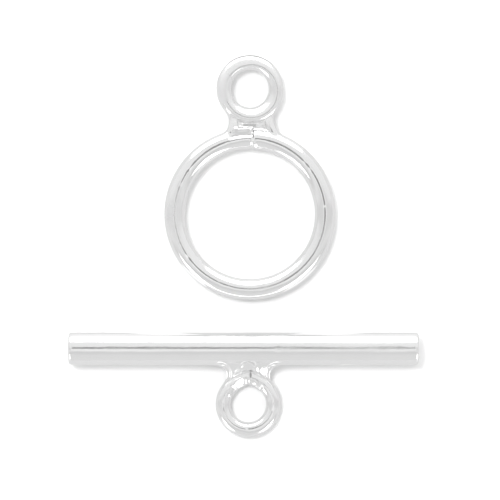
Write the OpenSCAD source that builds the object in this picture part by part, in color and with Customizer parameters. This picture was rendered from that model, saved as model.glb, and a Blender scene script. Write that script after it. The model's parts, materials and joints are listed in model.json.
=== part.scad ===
// A two-piece toggle clasp for a necklace or bracelet, lying open on a flat surface.
// The ring half is a wire hoop with a small loop soldered to its rim. The bar half is a
// round bar with a small loop soldered near its middle. The bar is passed through the hoop
// and turned across it to close the clasp. All sizes are in millimetres.
// +X runs along the bar, +Y from the bar half to the ring half, and +Z up.
// The origin lies on the surface, under the middle of the whole clasp.

/* [Hoop] */
// Outer diameter of the hoop that the bar passes through
hoop_d = 11; // [10:0.1:16]
// Thickness of the hoop's round wire
hoop_wire = 1.32; // [1.1:0.02:1.8]
// How far the hoop's closed seam lies to the right of its top, in degrees
hoop_seam_turn = 2.4; // [-6:0.2:6]

/* [Loop on the hoop] */
// Outer diameter of the loop
hoop_loop_d = 4.3; // [3.8:0.1:5.2]
// Thickness of the loop's round wire
hoop_loop_wire = 0.94; // [0.8:0.02:1.1]
// Space between the hoop and its loop, which solder fills
hoop_loop_gap = 0.42; // [0.3:0.02:0.7]
// Radius of the solder's waist on either side
hoop_fillet_r = 1.05; // [0.8:0.05:1.4]

/* [Bar] */
// Length of the bar
bar_l = 22.5; // [20:0.1:30]
// Diameter of the bar
bar_d = 2.08; // [1.8:0.02:2.6]
// Radius of the rounded rim at each end of the bar
bar_rim_r = 0.18; // [0.1:0.02:0.3]

/* [Loop on the bar] */
// Outer diameter of the loop
bar_loop_d = 4.2; // [3.8:0.1:5.2]
// Thickness of the loop's round wire
bar_loop_wire = 0.96; // [0.8:0.02:1.1]
// Space between the bar and its loop, which solder fills
bar_loop_gap = 0.46; // [0.4:0.02:0.7]
// Radius of the solder's waist on either side
bar_fillet_r = 0.7; // [0.6:0.05:1.1]
// How far the loop sits to the right of the bar's middle
bar_loop_shift = 0.3; // [-1:0.1:1]
// How far the solder climbs from the loop toward the bar, in degrees
bar_solder_climb = 15; // [0:1:20]

/* [Solder and seams] */
// How far the solder stays below the wire's surface, above and below
solder_inset = 0.06; // [0.04:0.01:0.12]
// Thickness of the solder in the hollow between its two ridges
solder_web_t = 0.52; // [0.3:0.02:0.6]
// Depth of the groove where a bent wire's two ends meet
seam_depth = 0.07; // [0.04:0.01:0.1]
// Width of that groove at the wire's surface
seam_w = 0.12; // [0.06:0.01:0.2]

/* [Layout] */
// Clear space between the hoop and the bar as they lie
halves_gap = 2.1; // [1:0.05:10]
// How far the ring half lies to the right of the bar's middle
ring_shift = 0.4; // [-2:0.02:2]

/* [Hidden] */
$fn = 96;

silver = [0.93, 0.93, 0.92];

// How far a seam's cutter stands outside the wire
cutter_margin = 0.1;

hoop_r = hoop_d / 2;
hoop_loop_r = hoop_loop_d / 2;
bar_r = bar_d / 2;
bar_loop_r = bar_loop_d / 2;

// From the hoop's middle, or the bar's axis, to the middle of its loop
hoop_loop_span = hoop_r + hoop_loop_gap + hoop_loop_r;
bar_loop_span = bar_r + bar_loop_gap + bar_loop_r;

// Thickness of the two ridges of solder beside each joint
hoop_ridge_d = min(hoop_wire, hoop_loop_wire) - 2 * solder_inset;
bar_ridge_d = bar_loop_wire - 2 * solder_inset;

// Both halves lie flat. The bar's loop is soldered on low, so it lies on the surface with
// the bar, this far below the bar's axis.
ring_lift = max(hoop_wire, hoop_loop_wire) / 2;
bar_loop_drop = bar_r - bar_loop_wire / 2;

// Lengths along Y above and below the bar's axis, which put the origin in the middle
clasp_above = bar_r + halves_gap + hoop_r + hoop_loop_span + hoop_loop_r;
clasp_below = bar_loop_span + bar_loop_r;
bar_y = (clasp_below - clasp_above) / 2;
ring_y = bar_y + bar_r + halves_gap + hoop_r;

// Middle of the waist arc that touches two round outlines from outside, the first centred
// at the origin and the second at [0, span]
function waist_between_rounds(first_r, second_r, span, fillet_r) =
    let (first = first_r + fillet_r,
         second = second_r + fillet_r,
         along = (first * first - second * second + span * span) / (2 * span))
    [sqrt(first * first - along * along), along];

// Middle of the waist arc that touches a straight edge at y = edge_y and a round outline
// centred at [0, span]
function waist_beside_edge(edge_y, round_r, span, fillet_r) =
    let (along = edge_y + fillet_r,
         reach = round_r + fillet_r)
    [sqrt(reach * reach - (span - along) * (span - along)), along];

// A ring of round wire, flat in the XY plane
module wire_ring(outer_d, wire) {
    rotate_extrude()
        translate([(outer_d - wire) / 2, 0])
            circle(d = wire);
}

// The shallow groove all round a wire where its two ends meet, on the Y axis at ring_r
module seam_groove(ring_r, wire) {
    translate([0, ring_r, 0])
        rotate([0, 90, 0])
            rotate_extrude()
                polygon([
                    [wire / 2 - seam_depth, 0],
                    [wire / 2 + cutter_margin, -seam_w / 2 * (1 + cutter_margin / seam_depth)],
                    [wire / 2 + cutter_margin, seam_w / 2 * (1 + cutter_margin / seam_depth)]
                ]);
}

// A wire ring closed at a seam, which lies seam_turn degrees to the right of the top
module closed_ring(outer_d, wire, seam_turn) {
    difference() {
        wire_ring(outer_d, wire);
        rotate(-seam_turn)
            seam_groove((outer_d - wire) / 2, wire);
    }
}

// The two ridges of solder, each a bent rod round the middle of a waist arc
module solder_ridges(waist, fillet_r, ridge_d, loop_dir, carrier_dir) {
    for (side = [0, 1])
        mirror([side, 0, 0])
            translate(waist)
                rotate(loop_dir)
                    rotate_extrude(angle = carrier_dir - loop_dir)
                        translate([fillet_r + ridge_d / 2, 0])
                            circle(d = ridge_d);
}

// The thinner web of solder between the ridges, from y = low to y = high
module solder_web(waist, fillet_r, ridge_d, low, high) {
    linear_extrude(height = solder_web_t, center = true)
        difference() {
            translate([-waist[0], low])
                square([2 * waist[0], high - low]);
            for (side = [-1, 1])
                translate([side * waist[0], waist[1]])
                    circle(r = fillet_r + ridge_d / 2);
        }
}

module hoop() {
    closed_ring(hoop_d, hoop_wire, hoop_seam_turn);
}

module hoop_loop() {
    translate([0, hoop_loop_span, 0])
        wire_ring(hoop_loop_d, hoop_loop_wire);
}

module hoop_solder() {
    waist = waist_between_rounds(hoop_r, hoop_loop_r, hoop_loop_span, hoop_fillet_r);
    solder_ridges(waist, hoop_fillet_r, hoop_ridge_d,
                  atan2(hoop_loop_span - waist[1], -waist[0]),
                  360 + atan2(-waist[1], -waist[0]));
    intersection() {
        solder_web(waist, hoop_fillet_r, hoop_ridge_d,
                   0, hoop_loop_span - hoop_loop_r + hoop_loop_wire / 2);
        rotate_extrude()
            translate([hoop_r - hoop_wire / 2, -hoop_wire / 2])
                square([hoop_loop_span, hoop_wire]);
    }
}

module bar() {
    straight_l = bar_l - 2 * bar_rim_r;
    rotate([0, 90, 0])
        rotate_extrude() {
            translate([0, -straight_l / 2])
                square([bar_r, straight_l]);
            translate([0, -bar_l / 2])
                square([bar_r - bar_rim_r, bar_l]);
            for (side = [-1, 1])
                translate([bar_r - bar_rim_r, side * straight_l / 2])
                    circle(r = bar_rim_r);
        }
}

module bar_loop() {
    translate([0, bar_loop_span, 0])
        rotate(180)
            closed_ring(bar_loop_d, bar_loop_wire, 0);
}

module bar_solder() {
    waist = waist_beside_edge(bar_r - solder_inset, bar_loop_r, bar_loop_span, bar_fillet_r);
    loop_dir = atan2(bar_loop_span - waist[1], -waist[0]);
    foot = waist[1] + (bar_fillet_r + bar_ridge_d / 2) * sin(loop_dir);
    translate([0, foot, 0])
        rotate([-bar_solder_climb, 0, 0])
            translate([0, -foot, 0]) {
                solder_ridges(waist, bar_fillet_r, bar_ridge_d, loop_dir, 270);
                solder_web(waist, bar_fillet_r, bar_ridge_d,
                           0, bar_loop_span - bar_loop_r + bar_loop_wire / 2);
            }
}

module toggle_ring() {
    color(silver)
        translate([ring_shift, ring_y, ring_lift]) {
            hoop();
            hoop_loop();
            hoop_solder();
        }
}

module toggle_bar() {
    color(silver)
        translate([0, bar_y, bar_r]) {
            bar();
            translate([bar_loop_shift, 0, -bar_loop_drop])
                rotate(180) {
                    bar_loop();
                    bar_solder();
                }
        }
}

toggle_ring();
toggle_bar();
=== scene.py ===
"""The looks of a two-piece toggle clasp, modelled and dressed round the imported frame.

Two sub-assemblies stand for the two nodes of the frame. The ring half is a wire hoop with a small
loop soldered to its rim, and the bar half is a round bar with a small loop soldered near its
middle. Each half is modelled in millimetres, lying flat with its main part centred on the origin,
and is then brought to the place and the size in metres that the frame gives. The studio is a pale
floor, softboxes round it and a camera that looks straight down.
"""

import json
import logging
import math
from abc import ABC, abstractmethod
from collections.abc import Callable, Iterator
from contextlib import contextmanager
from dataclasses import dataclass, field
from enum import Enum
from functools import reduce
from typing import NamedTuple

import bmesh
import bpy
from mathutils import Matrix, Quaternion, Vector


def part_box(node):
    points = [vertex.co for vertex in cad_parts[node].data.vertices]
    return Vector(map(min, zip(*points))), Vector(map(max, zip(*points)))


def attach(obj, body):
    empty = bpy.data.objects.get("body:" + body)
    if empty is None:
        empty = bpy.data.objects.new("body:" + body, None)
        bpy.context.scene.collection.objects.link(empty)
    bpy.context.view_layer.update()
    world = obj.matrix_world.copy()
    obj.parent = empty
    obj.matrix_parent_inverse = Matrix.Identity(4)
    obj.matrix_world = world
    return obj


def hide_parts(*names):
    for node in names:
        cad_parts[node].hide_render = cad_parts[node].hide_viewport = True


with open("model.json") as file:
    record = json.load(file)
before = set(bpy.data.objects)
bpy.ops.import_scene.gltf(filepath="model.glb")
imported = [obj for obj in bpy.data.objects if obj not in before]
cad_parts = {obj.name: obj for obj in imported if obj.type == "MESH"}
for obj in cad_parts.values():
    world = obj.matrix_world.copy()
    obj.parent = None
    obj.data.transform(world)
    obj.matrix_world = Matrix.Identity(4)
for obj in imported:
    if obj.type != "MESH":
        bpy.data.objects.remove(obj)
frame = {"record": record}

MM = 0.001

# How much smaller than the frame's box a half is made, so that its swells stay inside
CLEARANCE_TO_FRAME = 0.9997

# How far apart, in millimetres, two points may lie and still be the same place
TOUCHING = 1e-5

# How far off a smooth surface, in millimetres, a point of it may lie
ON_SURFACE = 0.005

log = logging.getLogger("toggle_clasp")

PlaceTest = Callable[[Vector], bool]


class Element(Enum):
    """What a selection in edit mode takes."""

    POINT = "VERT"
    FACE = "FACE"


class Axis(Enum):
    """The bench's directions that cuts and flats face."""

    X = Vector((1, 0, 0))
    Z = Vector((0, 0, 1))


class CrestTouch(NamedTuple):
    """A stretch of a ring's crest between two bearings, and how far it is raised there."""

    first: float
    last: float
    lift: float
    reach: float


class Dent(NamedTuple):
    """A shallow dent in a crest, by its place along the crest."""

    at: float
    depth: float
    reach: float = 0.35


class Workpiece:
    """One mesh on the bench, with the moves that are made on it by hand."""

    def __init__(self, name: str) -> None:
        """Takes the primitive that was just added as the piece.

        Args:
            name: What the piece is called.
        """
        self.shape = bpy.context.object
        self.shape.name = name
        self.shape.data.name = name
        bpy.ops.object.transform_apply(location=True, rotation=True, scale=True)

    def hold(self) -> None:
        """Selects this piece alone, out of edit mode, and makes it the active one."""
        bpy.ops.object.select_all(action="DESELECT")
        self.shape.select_set(True)
        bpy.context.view_layer.objects.active = self.shape

    @contextmanager
    def editing(self) -> Iterator[None]:
        """Holds the piece in edit mode for the block that follows.

        Yields:
            Nothing, once the piece is in edit mode.
        """
        self.hold()
        bpy.ops.object.mode_set(mode="EDIT")
        bpy.ops.mesh.select_mode(type=Element.POINT.value)
        yield
        bpy.ops.object.mode_set(mode="OBJECT")

    def pick(self, element: Element, wanted: PlaceTest) -> int:
        """Selects, in edit mode, the points or the faces whose place passes a test.

        Args:
            element: Whether points or faces are looked at.
            wanted: Says of a point's place, or of a face's middle, whether it is wanted.

        Returns:
            How many were selected.
        """
        bpy.ops.mesh.select_mode(type=element.value)
        bpy.ops.mesh.select_all(action="DESELECT")
        mesh = bmesh.from_edit_mesh(self.shape.data)
        if element is Element.FACE:
            chosen = [face for face in mesh.faces if wanted(face.calc_center_median())]
        else:
            chosen = [point for point in mesh.verts if wanted(point.co)]
        for one in chosen:
            one.select_set(True)
        mesh.select_flush_mode()
        bmesh.update_edit_mesh(self.shape.data)
        return len(chosen)

    def picked_places(self) -> list[Vector]:
        """Returns the places of the points that are selected in edit mode."""
        mesh = bmesh.from_edit_mesh(self.shape.data)
        return [point.co.copy() for point in mesh.verts if point.select]

    def open_edge(self) -> list[Vector]:
        """Selects the points along the surface's open edges, in edit mode.

        Returns:
            Their places.
        """
        bpy.ops.mesh.select_mode(type=Element.POINT.value)
        bpy.ops.mesh.select_all(action="DESELECT")
        bpy.ops.mesh.select_non_manifold()
        return self.picked_places()

    def nearest(self, place: Vector) -> Vector:
        """Returns the place of the piece's point nearest to a place, out of edit mode."""
        return min((point.co for point in self.shape.data.vertices),
                   key=lambda co: (co - place).length).copy()

    def push(self, place: Vector, move: Vector, reach: float) -> None:
        """Pushes the surface near a place, less and less out to a reach.

        Args:
            place: Where the push is strongest.
            move: How far that point goes.
            reach: How far from it the surface still moves.
        """
        target = self.nearest(place)
        with self.editing():
            self.pick(Element.POINT, lambda co: (co - target).length < TOUCHING)
            bpy.ops.transform.translate(value=move, use_proportional_edit=True,
                                        proportional_edit_falloff="SMOOTH",
                                        proportional_size=reach)

    def dent(self, place: Vector, depth: float, reach: float) -> None:
        """Pushes the surface near a place straight down."""
        self.push(place, Vector((0, 0, -depth)), reach)

    def file_flat(self, wanted: PlaceTest, at: Vector, facing: Vector, keep: float,
                  reach: float) -> None:
        """Files or fills a patch of the surface to a plane, less and less out to a reach.

        Args:
            wanted: Says of a point's place whether it is in the patch.
            at: A place on the plane.
            facing: Which way the plane faces.
            keep: The share that is left of each point's distance from the plane.
            reach: How far from the patch the surface still moves.
        """
        with self.editing():
            self.pick(Element.POINT, wanted)
            bpy.ops.transform.resize(value=(1, 1, keep), orient_type="GLOBAL",
                                     orient_matrix=facing.to_track_quat("Z", "Y").to_matrix(),
                                     orient_matrix_type="GLOBAL", center_override=at,
                                     use_proportional_edit=True,
                                     use_proportional_connected=True,
                                     proportional_edit_falloff="SMOOTH",
                                     proportional_size=reach)

    def file_facet(self, spot: Vector, facing: Vector, depth: float, core: float,
                   keep: float = 0.15, reach: float = 0.2) -> None:
        """Files a small facet some depth below a spot on the surface, flat out to its core."""
        self.file_flat(lambda co: (co - spot).length < core, spot - facing * depth, facing,
                       keep, reach)

    def soften(self, levels: int) -> None:
        """Turns the cage into a smooth surface and applies it.

        Args:
            levels: How often each face is divided.
        """
        self.hold()
        bpy.ops.object.modifier_add(type="SUBSURF")
        smoothing = self.shape.modifiers[-1]
        smoothing.levels = levels
        smoothing.render_levels = levels
        bpy.ops.object.modifier_apply(modifier=smoothing.name)

    def lay(self, place: Vector) -> None:
        """Scales the piece from millimetres to metres and lays it in place.

        Args:
            place: Where the middle of the piece goes, in metres.
        """
        self.hold()
        self.shape.scale = Vector((1, 1, 1)) * MM * CLEARANCE_TO_FRAME
        self.shape.location = place
        bpy.ops.object.transform_apply(location=True, rotation=True, scale=True)
        bpy.ops.object.shade_smooth()


def cage_swell(sides: int) -> float:
    """Returns how much wider a cage of that many sides is than the round that it smooths to."""
    return 3 / (2 + math.cos(2 * math.pi / sides))


def direction(bearing: float, lean: float) -> Vector:
    """Leans from straight up toward a bearing.

    Args:
        bearing: The compass way, in degrees from +X.
        lean: How far to lean, in degrees.

    Returns:
        The direction.
    """
    turn, tilt = math.radians(bearing), math.radians(lean)
    return Vector((math.cos(turn) * math.sin(tilt), math.sin(turn) * math.sin(tilt),
                   math.cos(tilt)))


def half_turn_wrap(degrees: float) -> float:
    """Returns an angle in degrees, brought between -180 and 180."""
    return (degrees + 180) % 360 - 180


class Stock(ABC):
    """Round stock under a grid of points, with the middle of its solder seat as grid place 0, 0."""

    @abstractmethod
    def form(self, name: str) -> Workpiece:
        """Makes the stock's cage.

        Args:
            name: What the piece is called.

        Returns:
            The cage.
        """

    @abstractmethod
    def grid_place(self, place: Vector) -> tuple[float, float]:
        """Returns the column and the row of a place on the stock, counted from the seat."""

    @abstractmethod
    def clearance(self, place: Vector) -> float:
        """Returns how far outside the stock's surface a place lies."""


@dataclass
class WireRing(Stock):
    """A closed ring of round wire, flat on the bench.

    The peak is how far the ring is drawn outwards at its seat, where its two ends meet.
    The flank's lean grows toward the seat in as many steps as it has ends, which lie along Y
    from the ring's middle. Both leans are shares that each row of the cage adds to the row
    below it, from the outermost line up to the crest. The crest's half width is in degrees
    round the wire.
    """

    outer_d: float
    wire: float
    middle: Vector
    columns: int
    seat_bearing: float
    peak: float = 0.0
    peak_reach: float = 1.0
    rows: int = 16
    flank_ends: tuple[float, ...] = (-0.6, 0.0, 0.6)
    flank_lean: tuple[float, ...] = (0.12, 0.12, -0.12, -0.12)
    top_lean: tuple[float, ...] = (0.0, 0.0, 0.5, 0.5)
    crest_half_w: float = 2.0

    @property
    def line_r(self) -> float:
        """The radius of the wire's middle line."""
        return (self.outer_d - self.wire) / 2

    @property
    def wire_r(self) -> float:
        """Half the wire's thickness."""
        return self.wire / 2

    def bearing(self, place: Vector) -> float:
        """Returns how many degrees a place lies round the ring from its seat."""
        out = place - self.middle
        return half_turn_wrap(math.degrees(math.atan2(out.y, out.x)) - self.seat_bearing)

    def round_wire(self, place: Vector) -> float:
        """Returns how many degrees a place lies round the wire from its outermost line."""
        out = place - self.middle
        return math.degrees(math.atan2(out.z, math.hypot(out.x, out.y) - self.line_r))

    def spot(self, bearing: float, around: float, rise: float = 0.0) -> Vector:
        """Returns a place on the wire's surface.

        Args:
            bearing: Degrees round the ring from its seat.
            around: Degrees round the wire from its outermost line.
            rise: How far the place stands off the surface.

        Returns:
            The place.
        """
        turn = math.radians(self.seat_bearing + bearing)
        lean = math.radians(around)
        reach = self.line_r + (self.wire_r + rise) * math.cos(lean)
        height = (self.wire_r + rise) * math.sin(lean)
        return self.middle + Vector((reach * math.cos(turn), reach * math.sin(turn), height))

    def grid_place(self, place: Vector) -> tuple[float, float]:
        """Returns the column and the row of a place on the ring, counted from the seat."""
        return (self.bearing(place) / (360 / self.columns),
                self.round_wire(place) / (360 / self.rows))

    def clearance(self, place: Vector) -> float:
        """Returns how far outside the wire's surface a place lies."""
        out = place - self.middle
        return math.hypot(math.hypot(out.x, out.y) - self.line_r, out.z) - self.wire_r

    def form(self, name: str) -> Workpiece:
        """Makes the ring's cage, with a line of points at the seat's bearing.

        Args:
            name: What the piece is called.

        Returns:
            The cage.
        """
        bpy.ops.mesh.primitive_torus_add(
            major_segments=self.columns, minor_segments=self.rows,
            major_radius=self.line_r * cage_swell(self.columns),
            minor_radius=self.wire_r * cage_swell(self.rows),
            location=self.middle, rotation=(0, 0, math.radians(self.seat_bearing)))
        ring = Workpiece(name)
        if self.peak:
            with ring.editing():
                ring.pick(Element.POINT, lambda co: abs(self.grid_place(co)[0]) < 0.5)
                outwards = self.spot(0, 0) - self.middle
                bpy.ops.transform.translate(value=outwards.normalized() * self.peak,
                                            use_proportional_edit=True,
                                            proportional_edit_falloff="SHARP",
                                            proportional_size=self.peak_reach)
        return ring

    def lean_top(self, piece: Workpiece, shift: Vector, margin: float = 0.05) -> None:
        """Leans the wire's top over, and its flanks too toward the seat.

        Args:
            piece: The cage that holds the ring.
            shift: How far the crest goes.
            margin: How far outside the ring a point still counts as its own.
        """
        passes = [(end, self.flank_lean) for end in self.flank_ends]
        for end, shares in [*passes, (self.outer_d, self.top_lean)]:
            for row, share in enumerate(shares):
                height = self.wire_r * math.sin(math.tau * (row + 0.5) / self.rows)
                with piece.editing():
                    piece.pick(Element.POINT, lambda co: (
                        co.z - self.middle.z > height and co.y - self.middle.y < end
                        and self.clearance(co) < margin + shift.length))
                    bpy.ops.transform.translate(value=shift * share)

    def touch_crest(self, piece: Workpiece, touch: CrestTouch) -> None:
        """Flattens a stretch of the wire's crest a little, as filing does.

        Args:
            piece: The finely divided piece that holds the ring.
            touch: The stretch, and how far it moves.
        """
        with piece.editing():
            piece.pick(Element.POINT, lambda co: (
                abs(self.round_wire(co) - 90) < self.crest_half_w
                and self.clearance(co) < ON_SURFACE
                and touch.first < self.bearing(co) < touch.last))
            bpy.ops.transform.translate(value=(0, 0, touch.lift), use_proportional_edit=True,
                                        proportional_edit_falloff="SMOOTH",
                                        proportional_size=touch.reach)


@dataclass
class Rod(Stock):
    """A straight round rod along X, with its seat on the side that faces -Y."""

    length: float
    thickness: float
    rim_r: float
    seat_x: float
    column_w: float
    rows: int = 24
    seat_columns: int = 5
    free_stations: tuple[float, ...] = (0.25, 0.45, 0.65, 0.82, 0.93, 0.975)

    @property
    def radius(self) -> float:
        """Half the rod's thickness."""
        return self.thickness / 2

    def grid_place(self, place: Vector) -> tuple[float, float]:
        """Returns the column and the row of a place on the rod, counted from the seat."""
        return ((place.x - self.seat_x) / self.column_w,
                math.degrees(math.atan2(place.z, -place.y)) / (360 / self.rows))

    def clearance(self, place: Vector) -> float:
        """Returns how far outside the rod's side a place lies."""
        return math.hypot(place.y, place.z) - self.radius

    def form(self, name: str) -> Workpiece:
        """Makes the rod's cage: cut across at stations, rims rounded and end faces inset.

        Args:
            name: What the piece is called.

        Returns:
            The cage.
        """
        half = self.length / 2
        bpy.ops.mesh.primitive_cylinder_add(
            vertices=self.rows, radius=self.radius * cage_swell(self.rows), depth=self.length,
            rotation=(0, math.pi / 2, 0))
        rod = Workpiece(name)
        seat = [self.seat_x + k * self.column_w for k in range(-self.seat_columns,
                                                               self.seat_columns + 1)]
        free = [side * share * half for side in (-1, 1) for share in self.free_stations]
        with rod.editing():
            for station in seat + free:
                bpy.ops.mesh.select_all(action="SELECT")
                bpy.ops.mesh.bisect(plane_co=(station, 0, 0), plane_no=Axis.X.value)
            rod.pick(Element.POINT, lambda co: abs(co.x) > half - TOUCHING)
            bpy.ops.mesh.bevel(offset=self.rim_r, segments=3, affect="EDGES")
            rod.pick(Element.FACE, lambda co: abs(co.x) > half - TOUCHING)
            bpy.ops.mesh.inset(thickness=self.rim_r)
        return rod


@dataclass(frozen=True)
class SolderJoint:
    """Solder between a carrier and its loop: a ridge down either side, a hollow between them.

    Both seats have the same grid, so their edges have equally many points and bridge evenly.
    The seat's rows are given for each column from the middle out, and a crest for each ring of
    points from the carrier to the loop.
    """

    carrier: Stock
    loop: Stock
    fillet_r: float
    waist: Vector
    seat_rows: tuple[int, ...]
    crests: tuple[float, ...]
    crest_share: float = 0.8
    crest_band: float = 0.12

    @property
    def rings(self) -> int:
        """How many rings of points lie between the two seats."""
        return len(self.crests)

    def is_seat(self, stock: Stock, place: Vector) -> bool:
        """Tells whether a face of the stock lies where the solder meets it.

        Args:
            stock: The carrier or the loop.
            place: The face's middle.

        Returns:
            Whether it does.
        """
        column, row = stock.grid_place(place)
        reach = int(abs(column))
        return reach < len(self.seat_rows) and abs(row) < self.seat_rows[reach]

    def in_ring(self, place: Vector, edges: list[list[Vector]], number: int) -> bool:
        """Tells whether a place lies in one of the rings of points between the two seats.

        Args:
            place: The place of one of the points that the bridge added.
            edges: The places along the edge of the carrier's seat and of the loop's.
            number: Which ring, counted from the carrier.

        Returns:
            Whether it does.
        """
        part = number / (self.rings + 1)
        return any((start.lerp(end, part) - place).length < TOUCHING
                   for start in edges[0] for end in edges[1])

    def half_width(self, y: float) -> float:
        """Returns half the joint's width at a height along Y, where its side is an arc."""
        rise = min(abs(y - self.waist.y), self.fillet_r)
        return self.waist.x - math.sqrt(self.fillet_r ** 2 - rise ** 2)

    def make(self, carrier: Workpiece, loop: Workpiece) -> Workpiece:
        """Opens both seats, joins the two pieces and draws the solder between them.

        Args:
            carrier: The hoop or the bar.
            loop: The small loop.

        Returns:
            The carrier, which is now the whole half.
        """
        edges = []
        for stock, piece in ((self.carrier, carrier), (self.loop, loop)):
            with piece.editing():
                opened = piece.pick(Element.FACE, lambda co: self.is_seat(stock, co))
                bpy.ops.mesh.delete(type="FACE")
                edges.append(piece.open_edge())
            log.info("%s: %d faces opened for solder", piece.shape.name, opened)
        carrier.hold()
        loop.shape.select_set(True)
        bpy.ops.object.join()
        with carrier.editing():
            carrier.open_edge()
            bpy.ops.mesh.bridge_edge_loops(number_cuts=self.rings, interpolation="LINEAR",
                                           smoothness=0)
            added = [co for co in carrier.picked_places() if co not in edges[0] + edges[1]]
            rings = [[co for co in added if self.in_ring(co, edges, number)]
                     for number in range(1, self.rings + 1)]
            for ring, crest in zip(rings, self.crests):
                self.draw_in(carrier, ring, crest)
        return carrier

    def draw_in(self, half: Workpiece, ring: list[Vector], crest: float) -> None:
        """Narrows one ring of points to the joint's waist, and lifts the crests of its ridges.

        Args:
            half: The joined piece, in edit mode.
            ring: The places of the ring's points.
            crest: How much higher the crests become.
        """
        left = min(ring, key=lambda co: co.x)
        right = max(ring, key=lambda co: co.x)
        middle = (left + right) / 2
        wide = (right.x - left.x) / 2
        narrow = self.half_width(middle.y) / wide
        log.info("ring: %d points, half width %.3f", len(ring), narrow * wide)
        half.pick(Element.POINT, lambda co: co in ring)
        bpy.ops.transform.resize(value=(narrow, 1, 1), center_override=middle)
        crest_x = narrow * wide * self.crest_share
        narrowed = half.picked_places()
        half.pick(Element.POINT, lambda co: (
            co in narrowed and abs(abs(co.x - middle.x) - crest_x) < self.crest_band * wide))
        bpy.ops.transform.resize(value=(1, 1, crest), center_override=middle)


class Grader:
    """Adds and joins the nodes of one material or of the world."""

    def __init__(self, tree: bpy.types.NodeTree) -> None:
        """Clears the tree that the nodes go into."""
        self.tree = tree
        self.tree.nodes.clear()

    def add(self, kind: str, **values: object) -> bpy.types.Node:
        """Adds a node and sets its sockets.

        Args:
            kind: Blender's name of the node's type.
            **values: Socket names, with _ for a space, and a value or an output socket for each.

        Returns:
            The node.
        """
        node = self.tree.nodes.new(kind)
        for name, value in values.items():
            self.feed(node.inputs[name.replace("_", " ")], value)
        return node

    def feed(self, socket: bpy.types.NodeSocket, value: object) -> None:
        """Gives a node's socket its value.

        Args:
            socket: The socket.
            value: A value, or an output socket that is linked to it.
        """
        if isinstance(value, bpy.types.NodeSocket):
            self.tree.links.new(value, socket)
        else:
            socket.default_value = value

    def math(self, operation: str, first: object, second: object = 0.0) -> bpy.types.NodeSocket:
        """Adds a sum on two numbers or sockets.

        Args:
            operation: Blender's name of the operation.
            first: The first number or socket.
            second: The second number or socket.

        Returns:
            The result's socket.
        """
        node = self.tree.nodes.new("ShaderNodeMath")
        node.operation = operation
        self.feed(node.inputs[0], first)
        self.feed(node.inputs[1], second)
        return node.outputs[0]

    def vector_math(self, operation: str, first: bpy.types.NodeSocket,
                    second: Vector) -> bpy.types.NodeSocket:
        """Adds a sum on a direction or place and a constant one.

        Args:
            operation: Blender's name of the operation.
            first: The socket of the direction or place.
            second: The constant.

        Returns:
            The result's socket.
        """
        node = self.tree.nodes.new("ShaderNodeVectorMath")
        node.operation = operation
        self.feed(node.inputs[0], first)
        self.feed(node.inputs[1], second)
        return node.outputs["Value" if operation == "LENGTH" else "Vector"]

    def noise(self, place: bpy.types.NodeSocket, size: float,
              detail: float) -> bpy.types.NodeSocket:
        """Adds soft noise.

        Args:
            place: The surface's own coordinates.
            size: How far apart its swells lie, in metres.
            detail: How much finer noise lies on it.

        Returns:
            The noise's socket.
        """
        node = self.add("ShaderNodeTexNoise", Vector=place, Scale=1 / size, Detail=detail,
                        Roughness=0.5)
        return node.outputs["Fac"]

    def join(self, masks: list[bpy.types.NodeSocket]) -> bpy.types.NodeSocket:
        """Adds the largest of some masks."""
        return reduce(lambda largest, mask: self.math("MAXIMUM", largest, mask), masks)

    def span(self, value: bpy.types.NodeSocket, source: tuple[float, float],
             target: tuple[float, float]) -> bpy.types.NodeSocket:
        """Adds a smooth change from one range of numbers to another.

        Args:
            value: The number that is changed.
            source: Its lowest and highest value.
            target: What these become.

        Returns:
            The result's socket.
        """
        node = self.add("ShaderNodeMapRange", Value=value, From_Min=source[0],
                        From_Max=source[1], To_Min=target[0], To_Max=target[1])
        node.interpolation_type = "SMOOTHSTEP"
        return node.outputs["Result"]

    def steps(self, value: bpy.types.NodeSocket,
              stops: tuple[tuple[float, float], ...]) -> bpy.types.NodeSocket:
        """Adds a soft ramp of greys over the range from -1 to 1.

        Args:
            value: The number that runs along the ramp.
            stops: Each place on the ramp, with the grey that it has.

        Returns:
            The grey's socket.
        """
        share = self.add("ShaderNodeMapRange", Value=value, From_Min=-1.0, From_Max=1.0)
        node = self.add("ShaderNodeValToRGB", Fac=share.outputs["Result"])
        node.color_ramp.interpolation = "EASE"
        for number, (place, grey) in enumerate(stops):
            ends = node.color_ramp.elements
            stop = ends[0] if number == 0 else ends.new((place + 1) / 2)
            stop.color = (grey, grey, grey, 1)
        node.color_ramp.elements.remove(node.color_ramp.elements[-1])
        return node.outputs["Color"]


@dataclass(frozen=True)
class Zone:
    """A round or stretched part of the surface that has a finish of its own, in metres.

    The core is the share of the reach in which the finish has its full strength.
    """

    middle: Vector
    reach: Vector
    core: float = 0.6
    strength: float = 1.0

    def mask(self, nodes: Grader, place: bpy.types.NodeSocket) -> bpy.types.NodeSocket:
        """Adds a mask that is 1 in the zone's core and 0 outside its reach.

        Args:
            nodes: Adds the nodes.
            place: The surface's own coordinates.

        Returns:
            The mask's socket.
        """
        offset = nodes.vector_math("SUBTRACT", place, self.middle)
        scaled = nodes.vector_math("DIVIDE", offset, self.reach)
        length = nodes.vector_math("LENGTH", scaled, (0, 0, 0))
        return nodes.span(length, (self.core, 1.0), (self.strength, 0))


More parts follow.
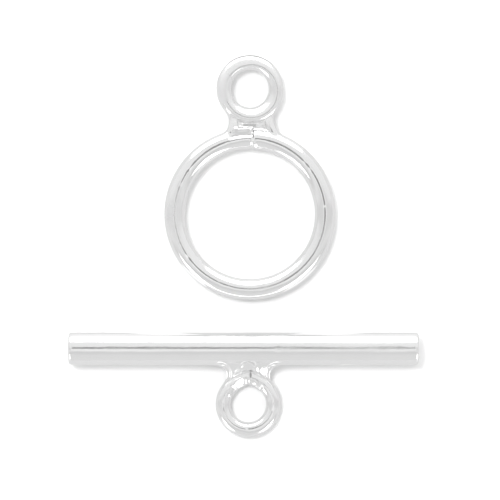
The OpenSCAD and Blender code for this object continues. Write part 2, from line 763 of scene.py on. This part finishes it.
@dataclass(frozen=True)
class PolishedSilver:
    """Bright silver, polished by hand: slightly wavy, with duller solder, and a painted shade that
    darkens the groove where a wire's two ends meet.

    Waves, ripples, marks and wear are noise, each with its swells' length in metres, and the
    first three with their height. Dulling and darkening say over which of the wear noise's
    values the metal gets duller and a little darker.
    """

    tint: tuple[float, float, float]
    gloss: tuple[float, float] = (0.09, 0.17)
    worked_gloss: float = 0.14
    seam_gloss: float = 0.2
    # Painted shade: the colour in the groove where a wire's two ends meet is darkened to this share
    seam_shade_tone: float = 0.12
    wave_l: float = 1.6 * MM
    wave_h: float = 0.012 * MM
    ripple_l: float = 0.45 * MM
    ripple_h: float = 0.012 * MM
    mark_l: float = 0.10 * MM
    mark_h: float = 0.0006 * MM
    wear_l: float = 3 * MM
    wear_tone: float = 0.96
    dulling: tuple[float, float] = (0.35, 0.7)
    darkening: tuple[float, float] = (0.3, 0.8)

    def shade(self, tone: float) -> tuple[float, float, float, float]:
        """Returns the metal's colour, darkened to a tone."""
        return (*(tone * part for part in self.tint), 1)

    def mix(self, name: str, worked: tuple[Zone, ...],
            seam_shade_zones: tuple[Zone, ...]) -> bpy.types.Material:
        """Makes the finish.

        Args:
            name: What the material is called.
            worked: Where the metal is less glossy and less even.
            seam_shade_zones: Where the groove between a wire's two ends is duller and gets a
                painted shade.

        Returns:
            The material.
        """
        material = bpy.data.materials.new(name)
        material.use_nodes = True
        nodes = Grader(material.node_tree)
        place = nodes.add("ShaderNodeTexCoord").outputs["Object"]
        rough = nodes.join([zone.mask(nodes, place) for zone in worked])
        # Mask of the painted shade in the grooves between wire ends, which also dulls them
        seam_shade_mask = nodes.join([zone.mask(nodes, place) for zone in seam_shade_zones])
        waves = nodes.noise(place, self.wave_l, 1.0)
        ripples = nodes.noise(place, self.ripple_l, 1.0)
        marks = nodes.noise(place, self.mark_l, 3.0)
        wear = nodes.noise(place, self.wear_l, 4.0)
        dull = nodes.math("ADD", nodes.span(wear, self.dulling, self.gloss), nodes.math(
            "ADD", nodes.math("MULTIPLY", rough, self.worked_gloss),
            nodes.math("MULTIPLY", seam_shade_mask, self.seam_gloss)))
        height = nodes.math("ADD", nodes.math("MULTIPLY", waves, self.wave_h / MM), nodes.math(
            "MULTIPLY", nodes.math("MULTIPLY", ripples, rough), self.ripple_h / MM))
        height = nodes.math("ADD", height, nodes.math("MULTIPLY", marks, self.mark_h / MM))
        bump = nodes.add("ShaderNodeBump", Height=height, Strength=1.0, Distance=MM)
        clean = nodes.add("ShaderNodeMixRGB", Fac=nodes.span(wear, self.darkening, (0, 1)),
                          Color1=self.shade(1.0), Color2=self.shade(self.wear_tone))
        # Painted shade: darkens the colour toward the seam's tone inside that mask
        tone = nodes.add("ShaderNodeMixRGB", Fac=seam_shade_mask, Color1=clean.outputs[0],
                         Color2=self.shade(self.seam_shade_tone))
        skin = nodes.add("ShaderNodeBsdfPrincipled", Base_Color=tone.outputs[0], Metallic=1.0,
                         Roughness=dull, Normal=bump.outputs[0])
        nodes.add("ShaderNodeOutputMaterial", Surface=skin.outputs[0])
        return material


class Fill(NamedTuple):
    """A stretch of the hoop's flank that solder fills up to a height, by bearings from the seam."""

    first: float
    last: float
    low: float
    height: float


class Patch(NamedTuple):
    """A patch filed flat in the hoop's joint, along Y counted from the hoop's outer edge."""

    left: float
    right: float
    near: float
    far: float
    base: float
    plane_y: float
    plane_z: float
    lean: float
    keep: float
    reach: float


class Bead(NamedTuple):
    """A bead of solder on the hoop, by its bearing and the degrees round the wire."""

    bearing: float
    around: float
    lump: float
    reach: float


class LoopFacet(NamedTuple):
    """A facet filed on the bar's loop, by its bearing and the degrees round the wire."""

    bearing: float
    around: float
    way: float
    lean: float
    depth: float
    core: float


class NeckFacet(NamedTuple):
    """A facet in the bar's solder, right of the loop's middle and below the bar's edge."""

    right: float
    below: float
    height: float
    way: float
    lean: float
    depth: float
    core: float


class Seam(NamedTuple):
    """The groove between a ring's two ends, in degrees round the ring and round its wire.

    The cover is how far off the wire's surface a point may lie, in millimetres. The start is
    counted from the wire's outermost line, and below 0 the groove goes all round.
    """

    half_w: float
    cover: float
    start: float = -1.0


class WornZone(NamedTuple):
    """A stretch of the bar's top that is less glossy, by its middle and half its length."""

    x: float
    reach: float
    strength: float


@dataclass(frozen=True)
class LinkLoop:
    """What the record's mount says of one of the two link loops."""

    place: Vector
    wire: float
    outer_d: float

    @classmethod
    def of_mount(cls, name: str) -> "LinkLoop":
        """Reads one mount.

        Args:
            name: The mount's name.

        Returns:
            The loop, with its place in metres and its sizes in millimetres.
        """
        mount = next(one for one in frame["record"]["mounts"] if one["name"] == name)
        wire = mount["dims"]["length_mm"]
        return cls(Vector(mount["pos_m"]), wire, 2 * (mount["dims"]["r_mm"] + wire))


@dataclass(kw_only=True)
class ClaspHalf(ABC):
    """One half of the clasp: a main part, its link loop and the solder between them."""

    loop_d: float
    loop_wire: float
    loop_span: float
    place: Vector
    fillet_r: float
    seam_depth: float = 0.07

    @property
    @abstractmethod
    def worked(self) -> tuple[Zone, ...]:
        """Where the metal is less glossy."""

    @property
    @abstractmethod
    def seam_shade_zones(self) -> tuple[Zone, ...]:
        """Where a painted shade darkens the groove between two ends of wire."""

    @abstractmethod
    def build(self) -> Workpiece:
        """Models the half and lays it in place."""

    def placed(self, spot: Vector) -> Vector:
        """Returns where a spot in millimetres on the bench comes to lie, in metres."""
        return self.place + spot * MM

    def zone(self, spot: Vector, reach: tuple[float, float, float], core: float = 0.6,
             strength: float = 1.0) -> Zone:
        """Returns the zone round a spot, both it and its reach in millimetres on the bench."""
        return Zone(self.placed(spot), Vector(reach) * MM, core, strength)

    def cut_seam(self, half: Workpiece, ring: WireRing, seam: Seam) -> None:
        """Draws in the groove where a ring's two ends meet, at its seat.

        Args:
            half: The finely divided half.
            ring: The hoop or the loop.
            seam: How wide the groove is and where it goes.
        """
        with half.editing():
            half.pick(Element.POINT, lambda co: (
                abs(ring.bearing(co)) < seam.half_w and abs(ring.round_wire(co)) > seam.start
                and ring.clearance(co) < seam.cover))
            bpy.ops.transform.shrink_fatten(value=-self.seam_depth)

    def dress(self, piece: Workpiece, finish: PolishedSilver) -> None:
        """Gives the half its one finish.

        Args:
            piece: The half as it was built.
            finish: What the metal looks like.
        """
        skin = finish.mix(f"silver_{piece.shape.name}", self.worked, self.seam_shade_zones)
        piece.shape.data.materials.clear()
        piece.shape.data.materials.append(skin)


@dataclass(kw_only=True)
class RingHalf(ClaspHalf):
    """The hoop, its link loop and the solder between them.

    The crest's lean is how far the loop's crest goes over. The top of the fills is in degrees
    round the wire, and a fill's cover is how far off the wire's surface a point may lie. The
    heated part reaches out from the loop's middle by a share of the loop's width.
    """

    hoop_d: float
    hoop_wire: float
    seam_turn: float = 2.4
    fillet_r: float = 1.05
    crest_lean: tuple[float, float, float] = (0.115, -0.22, 0)
    fill_top: float = 75
    fill_cover: float = 0.1
    fill_keep: float = 0.25
    fill_reach: float = 0.1
    heated: float = 0.75
    fills: tuple[Fill, ...] = (
        Fill(1.0, 4.5, 15, 0.40), Fill(4.5, 11.0, 42, 0.46), Fill(11.0, 17.0, 20, 0.46))
    patches: tuple[Patch, ...] = (
        Patch(-1.05, 0.12, -0.40, 0.06, 0.1, -0.38, 0.52, 15, 0.05, 0.08),
        Patch(-0.50, 0.50, 0.08, 0.32, 0.0, 0.0, 0.27, 0, 0.1, 0.1))
    beads: tuple[Bead, ...] = (
        Bead(0.3, 108, 0.08, 0.20), Bead(-1.0, 125, 0.12, 0.22), Bead(-2.2, 142, 0.12, 0.22),
        Bead(-3.2, 156, 0.10, 0.20), Bead(-6.9, 158, 0.07, 0.15))
    crest_touches: tuple[CrestTouch, ...] = (
        CrestTouch(-150, -88, -0.012, 0.36), CrestTouch(-78, -52, -0.010, 0.32),
        CrestTouch(-40, -12, -0.008, 0.30), CrestTouch(22, 48, -0.008, 0.30))
    dents: tuple[Dent, ...] = (
        Dent(-83, 0.012), Dent(-46, 0.010), Dent(14, 0.010), Dent(57, 0.012), Dent(71, 0.010),
        Dent(-168, 0.010), Dent(160, 0.010), Dent(128, 0.012))

    @classmethod
    def from_frame(cls) -> "RingHalf":
        """Takes the sizes and the place from the frame.

        Returns:
            The ring half.
        """
        low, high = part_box("toggle_ring")
        outer = high.x - low.x
        middle = Vector(((low.x + high.x) / 2, low.y + outer / 2, (low.z + high.z) / 2))
        loop = LinkLoop.of_mount("ring_link_loop")
        return cls(hoop_d=outer / MM, hoop_wire=(high.z - low.z) / MM, loop_d=loop.outer_d,
                   loop_wire=loop.wire, loop_span=(loop.place.y - middle.y) / MM, place=middle)

    @property
    def hoop(self) -> WireRing:
        """The hoop, which has its seam at the middle of its solder seat."""
        return WireRing(self.hoop_d, self.hoop_wire, Vector((0, 0, 0)), columns=96,
                        seat_bearing=90 - self.seam_turn)

    @property
    def loop(self) -> WireRing:
        """The link loop, with its seat toward the hoop."""
        return WireRing(self.loop_d, self.loop_wire, Vector((0, self.loop_span, 0)), columns=40,
                        seat_bearing=-90)

    @property
    def worked(self) -> tuple[Zone, ...]:
        """The loop and the joint, heated and polished by hand, and worn parts of the hoop."""
        heated = self.loop_d * self.heated
        return (
            self.zone(self.loop.middle, (heated, heated, heated), core=0.7, strength=0.85),
            self.zone(self.loop.spot(-90, 90), (1.2, 1.8, 1), core=0.3, strength=1.6),
            self.zone(self.hoop.spot(92, 90), (2, 3.6, 2), core=0.2, strength=0.85),
            self.zone(self.hoop.spot(-178, 90), (3, 2, 2), core=0.2, strength=0.5))

    @property
    def seam_shade_zones(self) -> tuple[Zone, ...]:
        """The hoop's seam, from its crest down to the solder, where its groove gets a painted
        shade.
        """
        return (self.zone(self.hoop.spot(0, 55), (0.055, 0.42, 0.5)),)

    @property
    def waist(self) -> Vector:
        """The middle of the arc that touches the hoop and the loop from the right."""
        first = self.hoop_d / 2 + self.fillet_r
        second = self.loop_d / 2 + self.fillet_r
        along = (first ** 2 - second ** 2 + self.loop_span ** 2) / (2 * self.loop_span)
        return Vector((math.sqrt(first ** 2 - along ** 2), along, 0))

    def wear_crest(self, half: Workpiece) -> None:
        """Wears the hoop's crest flatter in places and dents it a little in others.

        Args:
            half: The finely divided half.
        """
        hoop = self.hoop
        for touch in self.crest_touches:
            hoop.touch_crest(half, touch)
        for dent in self.dents:
            half.dent(hoop.spot(dent.at, 90), dent.depth, dent.reach)

    def run_solder(self, half: Workpiece) -> None:
        """Fills the hoop's flank left of the seam, evens the hollow and hangs beads inside.

        Args:
            half: The finely divided half.
        """
        hoop, edge = self.hoop, self.hoop_d / 2
        for fill in self.fills:
            half.file_flat(lambda co: (
                fill.first < hoop.bearing(co) < fill.last
                and fill.low < hoop.round_wire(co) < self.fill_top
                and hoop.clearance(co) < self.fill_cover),
                Vector((0, 0, fill.height)), Axis.Z.value, self.fill_keep, self.fill_reach)
        for patch in self.patches:
            half.file_flat(lambda co: (
                patch.left < co.x < patch.right
                and patch.near < co.y - edge < patch.far and co.z > patch.base),
                Vector((0, edge + patch.plane_y, patch.plane_z)), direction(270, patch.lean),
                patch.keep, patch.reach)
        for bead in self.beads:
            spot = hoop.spot(bead.bearing, bead.around)
            top = hoop.spot(bead.bearing, bead.around, bead.lump)
            half.push(spot, top - spot, bead.reach)

    def build(self) -> Workpiece:
        """Models the ring half and lays it in place.

        Returns:
            The half.
        """
        joint = SolderJoint(self.hoop, self.loop, self.fillet_r, self.waist,
                            seat_rows=(1, 1, 1, 2, 2), crests=(1.15, 1.15, 1.15))
        half = joint.make(self.hoop.form("ring_half"), self.loop.form("ring_half_loop"))
        self.loop.lean_top(half, Vector(self.crest_lean))
        half.soften(levels=2)
        self.wear_crest(half)
        self.run_solder(half)
        self.cut_seam(half, self.hoop, Seam(half_w=0.2, cover=self.seam_depth))
        half.lay(self.place)
        return half


@dataclass(kw_only=True)
class BarHalf(ClaspHalf):
    """The bar, its link loop and the solder between them.

    A column's width is how far apart the bar's cage is cut across at the solder seat.
    """

    bar_l: float
    bar_d: float
    loop_x: float
    loop_drop: float
    rim_r: float = 0.18
    fillet_r: float = 0.7
    column_w: float = 0.38
    dents: tuple[Dent, ...] = (
        Dent(-9.7, 0.006, 0.6), Dent(-8.3, 0.018), Dent(-6.9, 0.006, 0.7), Dent(-6.1, 0.015),
        Dent(-5.2, 0.010, 0.45), Dent(-2.6, 0.006, 0.6), Dent(2.3, 0.016), Dent(3.1, 0.016),
        Dent(3.9, 0.012, 0.4), Dent(5.6, 0.006, 0.8), Dent(8.8, 0.014), Dent(9.5, 0.016),
        Dent(10.2, 0.012))
    loop_facets: tuple[LoopFacet, ...] = (
        LoopFacet(19, 105, 301, 43, 0.09, 0.29), LoopFacet(50, 130, 345, 45, 0.04, 0.28),
        LoopFacet(-28, 130, 265, 45, 0.04, 0.20))
    neck_facets: tuple[NeckFacet, ...] = (
        NeckFacet(1.0, 0.33, 0.0, 308, 38, 0.05, 0.30),
        NeckFacet(0.0, 0.07, 0.2, 270, 30, 0.03, 0.32))
    crest_touches: tuple[CrestTouch, ...] = (
        CrestTouch(-180, -103, -0.02, 0.30), CrestTouch(42, 57, -0.012, 0.22),
        CrestTouch(85, 100, -0.012, 0.22))
    worn_zones: tuple[WornZone, ...] = (
        WornZone(-8.3, 1.3, 0.6), WornZone(-3.0, 14.0, 0.45), WornZone(3.1, 1.6, 0.7),
        WornZone(8.5, 6.5, 0.85))

    @classmethod
    def from_frame(cls) -> "BarHalf":
        """Takes the sizes and the place from the frame.

        Returns:
            The bar half.
        """
        low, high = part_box("toggle_bar")
        thick = high.z - low.z
        axis = Vector(((low.x + high.x) / 2, high.y - thick / 2, (low.z + high.z) / 2))
        loop = LinkLoop.of_mount("bar_link_loop")
        return cls(bar_l=(high.x - low.x) / MM, bar_d=thick / MM, loop_d=loop.outer_d,
                   loop_wire=loop.wire, loop_x=(loop.place.x - axis.x) / MM,
                   loop_span=(axis.y - loop.place.y) / MM,
                   loop_drop=(axis.z - loop.place.z) / MM, place=axis)

    @property
    def bar(self) -> Rod:
        """The bar, with its seat where the loop meets it."""
        return Rod(self.bar_l, self.bar_d, self.rim_r, self.loop_x, self.column_w)

    @property
    def loop(self) -> WireRing:
        """The link loop, with its seat and its seam toward the bar."""
        middle = Vector((self.loop_x, -self.loop_span, -self.loop_drop))
        return WireRing(self.loop_d, self.loop_wire, middle,
                        columns=40, seat_bearing=90, peak=0.12, peak_reach=1.3)

    @property
    def worked(self) -> tuple[Zone, ...]:
        """The joint and the loop's left side, heated and polished by hand, and the worn bar."""
        worn = [self.zone(Vector((one.x, 0, 1)), (one.reach, 1, 1.5), core=0.2,
                          strength=one.strength) for one in self.worn_zones]
        return (
            self.zone(self.loop.spot(0, 90), (2.2, 1.2, 2), core=0.4, strength=0.5),
            self.zone(self.loop.spot(80, 90), (1.0, 1.8, 1), core=0.4, strength=0.5), *worn)

    @property
    def seam_shade_zones(self) -> tuple[Zone, ...]:
        """The loop's seam, where its two ends meet under the bar, and where its groove gets a
        painted shade.
        """
        return (self.zone(self.loop.spot(-4.5, 55), (0.09, 0.24, 0.5), strength=0.6),)

    @property
    def waist(self) -> Vector:
        """The middle of the arc that touches the bar's edge and the loop from the right."""
        along = self.bar_d / 2 + self.fillet_r
        reach = self.loop_d / 2 + self.fillet_r
        return Vector((math.sqrt(reach ** 2 - (self.loop_span - along) ** 2), -along, 0))

    def dent_bar(self, half: Workpiece) -> None:
        """Puts shallow dents along the bar's top, where it was handled.

        Args:
            half: The finely divided half.
        """
        for dent in self.dents:
            half.dent(Vector((dent.at, 0, self.bar_d / 2)), dent.depth, dent.reach)

    def file_ends(self, half: Workpiece) -> None:
        """Files the facets on the loop's two ends and in the solder, and evens the loop's crest.

        Args:
            half: The finely divided half.
        """
        loop = self.loop
        for facet in self.loop_facets:
            half.file_facet(loop.spot(facet.bearing, facet.around),
                            direction(facet.way, facet.lean), facet.depth, facet.core)
        for facet in self.neck_facets:
            spot = half.nearest(Vector((self.loop_x + facet.right, -self.bar_d / 2 - facet.below,
                                        facet.height)))
            half.file_facet(spot, direction(facet.way, facet.lean), facet.depth, facet.core)
        for touch in self.crest_touches:
            loop.touch_crest(half, touch)

    def build(self) -> Workpiece:
        """Models the bar half and lays it in place.

        Returns:
            The half.
        """
        joint = SolderJoint(self.bar, self.loop, self.fillet_r, self.waist,
                            seat_rows=(2, 2, 2, 2, 1), crests=(1.0, 1.1, 1.1),
                            crest_share=0.6)
        half = joint.make(self.bar.form("bar_half"), self.loop.form("bar_half_loop"))
        half.soften(levels=2)
        self.dent_bar(half)
        self.file_ends(half)
        self.cut_seam(half, self.loop, Seam(half_w=0.5, cover=2 * self.seam_depth, start=45))
        half.lay(self.place)
        return half


def hang_lamp(light: bpy.types.Light, place: Vector, turn: Quaternion, mirrored: bool) -> None:
    """Hangs a light that the camera doesn't see.

    Args:
        light: The light.
        place: Where its middle goes.
        turn: How it is turned from facing straight down.
        mirrored: Whether the metal mirrors it.
    """
    lamp = bpy.data.objects.new(light.name, light)
    lamp.rotation_euler = turn.to_euler()
    lamp.location = place
    lamp.visible_camera = False
    lamp.visible_glossy = mirrored
    bpy.context.collection.objects.link(lamp)


@dataclass(frozen=True)
class Softbox:
    """One soft light at the side of the floor, which faces the middle level.

    The bearing, the spread from side to side and the height of the top are degrees, seen from
    the middle. The box is turned the shortest way from facing down, so one that stands neither
    before nor behind hangs on a slant.
    """

    name: str
    bearing: float
    spread: float
    top: float
    radiance: float = 2.2
    distance: float = 0.3

    def hang(self) -> None:
        """Makes the light, as wide and as high as the angles that it fills."""
        away = direction(self.bearing, 90) * self.distance
        height = self.distance * math.tan(math.radians(self.top))
        light = bpy.data.lights.new(self.name, "AREA")
        light.shape = "RECTANGLE"
        light.size = 2 * self.distance * math.tan(math.radians(self.spread / 2))
        light.size_y = height
        light.energy = self.radiance * math.pi * light.size * light.size_y
        hang_lamp(light, away + Vector((0, 0, height / 2)), (-away).to_track_quat("-Z", "Z"),
                  mirrored=True)


@dataclass(frozen=True)
class FloorLight:
    """A soft light above the floor that the metal doesn't mirror, and that casts the shadow."""

    name: str
    place: Vector
    size: float
    floor_light: float

    def hang(self) -> None:
        """Makes the light, aimed at the middle of the floor and as bright as that asks for."""
        light = bpy.data.lights.new(self.name, "AREA")
        light.shape = "DISK"
        light.size = self.size
        steep = self.place.normalized().z
        area = math.pi * (self.size / 2) ** 2
        radiance = self.floor_light * math.pi * self.place.length ** 2 / (area * steep)
        light.energy = radiance * math.pi * area
        hang_lamp(light, self.place, (-self.place).to_track_quat("-Z", "Y"), mirrored=False)


@dataclass(frozen=True)
class Sheet:
    """A level sheet of the studio, seen by the camera or by the mirroring metal alone."""

    name: str
    width: float
    height: float
    tone: float
    roughness: float
    mirrored: bool
    glow: float = 0.0
    middle: Vector = field(default_factory=Vector)
    length: float = 0.0
    turn: float = 0.0
    coat: float = 1.0
    coat_ior: float = 1.5

    def lay(self) -> None:
        """Makes the sheet, which is square unless it has a length of its own."""
        bpy.ops.mesh.primitive_plane_add(size=1, rotation=(0, 0, math.radians(self.turn)),
                                         location=(self.middle.x, self.middle.y, self.height))
        sheet = bpy.context.object
        sheet.name = self.name
        sheet.scale = (self.length or self.width, self.width, 1)
        bpy.ops.object.transform_apply(location=True, rotation=True, scale=True)
        material = bpy.data.materials.new(self.name)
        material.use_nodes = True
        nodes = Grader(material.node_tree)
        skin = nodes.add("ShaderNodeBsdfPrincipled", Base_Color=(*[self.tone] * 3, 1),
                         Roughness=1.0, Specular_IOR_Level=0.0, Coat_Weight=self.coat,
                         Coat_IOR=self.coat_ior, Coat_Roughness=self.roughness,
                         Emission_Color=(1, 1, 1, 1), Emission_Strength=self.glow)
        nodes.add("ShaderNodeOutputMaterial", Surface=skin.outputs[0])
        sheet.data.materials.append(material)
        sheet.visible_glossy = self.mirrored
        sheet.visible_camera = not self.mirrored
        sheet.visible_diffuse = not self.mirrored
        sheet.visible_shadow = False


@dataclass(frozen=True)
class Card:
    """A small card on the floor beside a ring, which the ring's flank mirrors.

    The bearing is the compass way from the ring's middle and the spread how much of the ring
    the card lies beside, both in degrees. The gap, the length outwards and the height off the
    floor are millimetres.
    """

    name: str
    bearing: float
    spread: float
    gap: float = 0.45
    length: float = 6.0
    height: float = 0.004
    tone: float = 0.1
    glow: float = 0.95

    def beside(self, half: ClaspHalf, ring: WireRing) -> Sheet:
        """Works out where the card lies.

        Args:
            half: The half that the ring belongs to.
            ring: The ring.

        Returns:
            The card as a sheet of the studio.
        """
        near = ring.outer_d / 2 + self.gap
        out = direction(self.bearing, 90) * (near + self.length / 2)
        width = 2 * near * math.tan(math.radians(self.spread / 2))
        return Sheet(self.name, width * MM, self.height * MM, self.tone, roughness=0.9,
                     mirrored=True, glow=self.glow, middle=half.placed(ring.middle + out),
                     length=self.length * MM, turn=self.bearing)


@dataclass
class Studio:
    """The pale floor, the lights, the room round them and the camera.

    The lens shade and the brighter halo behind it are what the metal mirrors of the camera.
    The shade's angle is half of what it fills as seen from the floor, in degrees. The room's
    light is given at places from the front, -1, to behind, 1.
    """

    cards: tuple[Sheet, ...]
    view_middle: Vector = field(default_factory=lambda: Vector((0.412, -0.25, 0.6)) * MM)
    view_w: float = 32.15 * MM
    camera_h: float = 0.3
    lens_shade_h: float = 0.36
    lens_shade_angle: float = 6.5
    lens_shade_shift: float = 0.028
    halo_gap: float = 0.002
    floor_w: float = 3.0
    sensor_w: float = 36.0
    room_light: tuple[tuple[float, float], ...] = (
        (-1.0, 0.76), (-0.75, 0.75), (-0.45, 0.67), (-0.22, 0.82), (-0.05, 0.71), (0.05, 0.71),
        (0.2, 0.86), (0.6, 0.88), (1.0, 0.80))

    def light_room(self) -> None:
        """Makes the room's light, in soft bands from the front to behind."""
        world = bpy.data.worlds.new("room")
        bpy.context.scene.world = world
        world.use_nodes = True
        nodes = Grader(world.node_tree)
        way = nodes.add("ShaderNodeTexCoord").outputs["Generated"]
        parts = nodes.add("ShaderNodeSeparateXYZ", Vector=way)
        glow = nodes.steps(parts.outputs["Y"], self.room_light)
        sky = nodes.add("ShaderNodeBackground", Color=glow, Strength=1.0)
        nodes.add("ShaderNodeOutputWorld", Surface=sky.outputs[0])

    def furnish(self) -> None:
        """Lays the sheets and hangs the lights."""
        shade_w = 2 * self.lens_shade_h * math.tan(math.radians(self.lens_shade_angle))
        shade_middle = Vector((0, self.lens_shade_shift, 0))
        halo_middle = shade_middle - Vector((0, shade_w / 2, 0))
        for sheet in (
                Sheet("floor", self.floor_w, 0.0, tone=0.9, roughness=0.9, mirrored=False),
                Sheet("floor_gloss", self.floor_w, 0.0, tone=0.15, roughness=0.12,
                      mirrored=True, glow=0.6, coat=0.22, coat_ior=4.0),
                Sheet("lens_halo", shade_w * 2, self.lens_shade_h + self.halo_gap, tone=0.1,
                      roughness=0.9, mirrored=True, glow=0.78, middle=halo_middle),
                Sheet("lens_shade", shade_w, self.lens_shade_h, tone=0.18, roughness=0.9,
                      mirrored=True, middle=shade_middle),
                *self.cards):
            sheet.lay()
        for light in (
                Softbox("softbox_behind", bearing=93, spread=82, top=39),
                Softbox("softbox_left", bearing=228, spread=20, top=31),
                Softbox("softbox_right", bearing=308, spread=26, top=32),
                FloorLight("key_light", Vector((-0.13, 0.12, 0.45)), size=0.15,
                           floor_light=0.45)):
            light.hang()

    def set_camera(self) -> None:
        """Makes the camera, straight above the middle of the picture."""
        data = bpy.data.cameras.new("camera")
        data.sensor_width = self.sensor_w
        data.lens = self.sensor_w * self.camera_h / self.view_w
        data.clip_start = 0.01
        data.clip_end = 10
        camera = bpy.data.objects.new("camera", data)
        camera.location = self.view_middle + Vector((0, 0, self.camera_h))
        bpy.context.collection.objects.link(camera)
        bpy.context.scene.camera = camera

    def set_up(self) -> None:
        """Sets up the whole studio."""
        self.set_camera()
        self.furnish()
        self.light_room()
        bpy.context.scene.view_settings.view_transform = "Standard"


def main() -> None:
    """Builds the clasp and its studio, and hides the frame's parts."""
    logging.basicConfig(level=logging.INFO, format="%(message)s")
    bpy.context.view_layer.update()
    bpy.ops.object.select_all(action="DESELECT")
    slot = frame["record"]["materials"][0]
    finish = PolishedSilver(tint=(slot["base_color"][1],) * 3)
    ring, bar = RingHalf.from_frame(), BarHalf.from_frame()
    for half, node in ((ring, "toggle_ring"), (bar, "toggle_bar")):
        piece = half.build()
        half.dress(piece, finish)
        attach(piece.shape, "root")
        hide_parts(node)
        log.info("%s: %d faces", piece.shape.name, len(piece.shape.data.polygons))
    Studio(cards=(Card("card_left", 228, 24).beside(ring, ring.hoop),
                  Card("card_right", 308, 30).beside(ring, ring.hoop),
                  Card("card_top", 90, 92, gap=-0.3, glow=0.35).beside(ring, ring.loop))).set_up()


if __name__ == "__main__":
    main()
